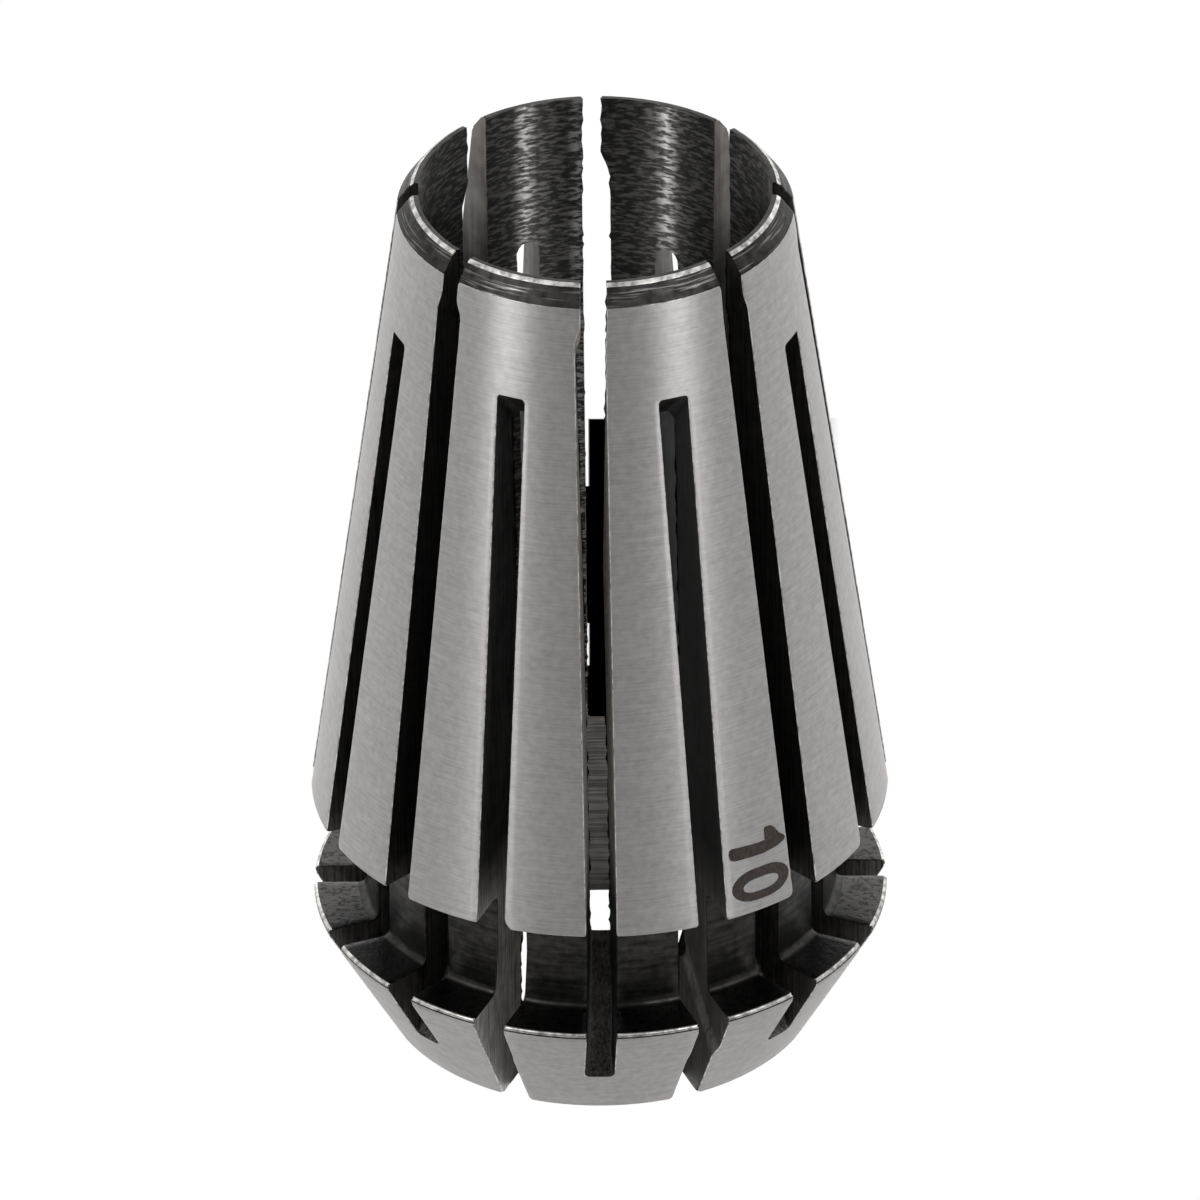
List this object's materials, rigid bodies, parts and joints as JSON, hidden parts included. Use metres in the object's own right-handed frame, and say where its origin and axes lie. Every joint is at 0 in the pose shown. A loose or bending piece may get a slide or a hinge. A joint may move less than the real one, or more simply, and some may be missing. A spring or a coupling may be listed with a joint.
{
  "type": "er collet",
  "caption": "Slotted steel spring collet with a long clamping taper, a nut groove, a conical nose and a through bore that closes on a tool shank.",
  "frame": {"origin": "centre of the flat nose face, which the collet stands on", "axes": "+Z along the bore axis towards the small end of the taper; -Y through the middle of a slot that runs out through the rear end"},
  "size_m": [0.017, 0.017, 0.0275],
  "materials": {
    "steel": "ground satin on the taper, nose and bore land, black oxide in the groove, slots and relief"
  },
  "bodies": {
    "root": {"collet": "steel"}
  },
  "joints": []
}
